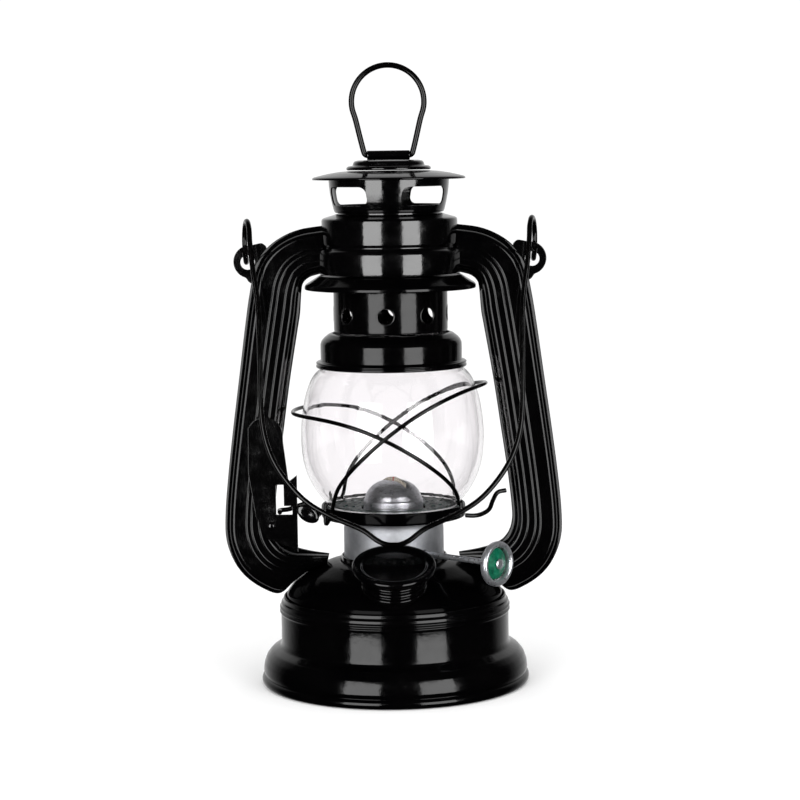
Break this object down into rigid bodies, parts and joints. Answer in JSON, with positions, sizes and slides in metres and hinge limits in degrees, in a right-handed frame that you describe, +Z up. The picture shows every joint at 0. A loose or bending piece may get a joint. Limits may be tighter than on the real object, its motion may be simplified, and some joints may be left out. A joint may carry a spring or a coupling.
{
  "type": "barn lantern",
  "caption": "Small pressed-steel hurricane lantern with a glass globe, wick burner, lifting chimney, top ring and swinging bail.",
  "frame": {"origin": "centre of the foot, on the surface that the lantern stands on", "axes": "+Z up, -Y the front with the filler cap and the hanging bail, +X the side of the wick knob"},
  "size_m": [0.1502, 0.1202, 0.275],
  "materials": {
    "black_enamel": "glossy black enamel",
    "silver_metal": "satin silver",
    "green_enamel": "dark green gloss",
    "gallery_green": "green-black, perforated",
    "clear_glass": "clear blown glass",
    "cotton_wick": "woven cotton",
    "cork_gasket": "cork"
  },
  "bodies": {
    "frame": {"tank_shell": "black_enamel", "tank_bottom": "black_enamel", "tank_top": "black_enamel", "filler_neck": "black_enamel", "burner_seat": "black_enamel", "burner_body": "silver_metal", "burner_deck": "silver_metal", "burner_dome": "silver_metal", "wick_tube": "silver_metal", "side_tube_left_front": "black_enamel", "side_tube_left_back": "black_enamel", "side_tube_right_front": "black_enamel", "side_tube_right_back": "black_enamel", "bail_lug_left": "black_enamel", "bail_lug_right": "black_enamel", "catch_bracket": "black_enamel", "catch_rivet": "black_enamel", "hood": "black_enamel", "hood_skirt": "black_enamel"},
    "gallery": {"glass_globe": "clear_glass", "gallery_ring": "black_enamel", "gallery_plate": "gallery_green", "guard_wire_a": "black_enamel", "guard_wire_b": "black_enamel", "stay_arm": "black_enamel", "thumb_lever": "black_enamel", "thumb_tab": "black_enamel"},
    "chimney": {"globe_collar": "black_enamel", "lower_chimney": "black_enamel", "chimney_flue": "black_enamel", "vent_crown": "black_enamel", "canopy": "black_enamel", "crown_cap": "black_enamel", "ring_barrel": "black_enamel"},
    "top_ring": {"top_ring": "black_enamel"},
    "bail": {"bail": "black_enamel"},
    "wick_knob": {"wick_spindle": "silver_metal", "spur_wheel_1": "silver_metal", "spur_wheel_2": "silver_metal", "knob_disc": "green_enamel", "knob_rim": "silver_metal", "knob_hub": "silver_metal"},
    "wick": {"wick": "cotton_wick"},
    "cap_seal": {"cap_gasket": "cork_gasket"},
    "filler_cap": {"filler_cap": "black_enamel"}
  },
  "joints": [
    {"name": "globe_lift", "type": "slide", "parent": "frame", "child": "gallery", "axis": [0, 0, 1], "range_m": [0, 0.0092]},
    {"name": "chimney_lift", "type": "slide", "parent": "frame", "child": "chimney", "axis": [0, 0, 1], "range_m": [0, 0.0092]},
    {"name": "ring_swing", "type": "hinge", "parent": "chimney", "child": "top_ring", "pos_m": [0, 0, 0.2346], "axis": [1, 0, 0], "range_deg": [-85, 85]},
    {"name": "bail_swing", "type": "hinge", "parent": "frame", "child": "bail", "pos_m": [0, 0, 0.1974], "axis": [-1, 0, 0], "range_deg": [0, 245]},
    {"name": "knob_turn", "type": "hinge", "parent": "frame", "child": "wick_knob", "pos_m": [-0.00307, -0.00343, 0.06], "axis": [0.7455, -0.6665, 0], "range_deg": [-90, 180]},
    {"name": "wick_feed", "type": "slide", "parent": "frame", "child": "wick", "axis": [0, 0, 1], "range_m": [-0.0053, 0.0106]},
    {"name": "cap_rise", "type": "slide", "parent": "frame", "child": "cap_seal", "axis": [0, -0.3256, 0.9455], "range_m": [0, 0.002]},
    {"name": "cap_turn", "type": "hinge", "parent": "cap_seal", "child": "filler_cap", "pos_m": [0, -0.041, 0.059], "axis": [0, -0.3256, 0.9455], "range_deg": [0, 360]}
  ],
  "couplings": [
    {"joint": "chimney_lift", "follows": "globe_lift", "ratio": 1},
    {"joint": "wick_feed", "follows": "knob_turn", "m_per_rad": 0.0033},
    {"joint": "cap_rise", "follows": "cap_turn", "m_per_rad": 0.0003183}
  ]
}
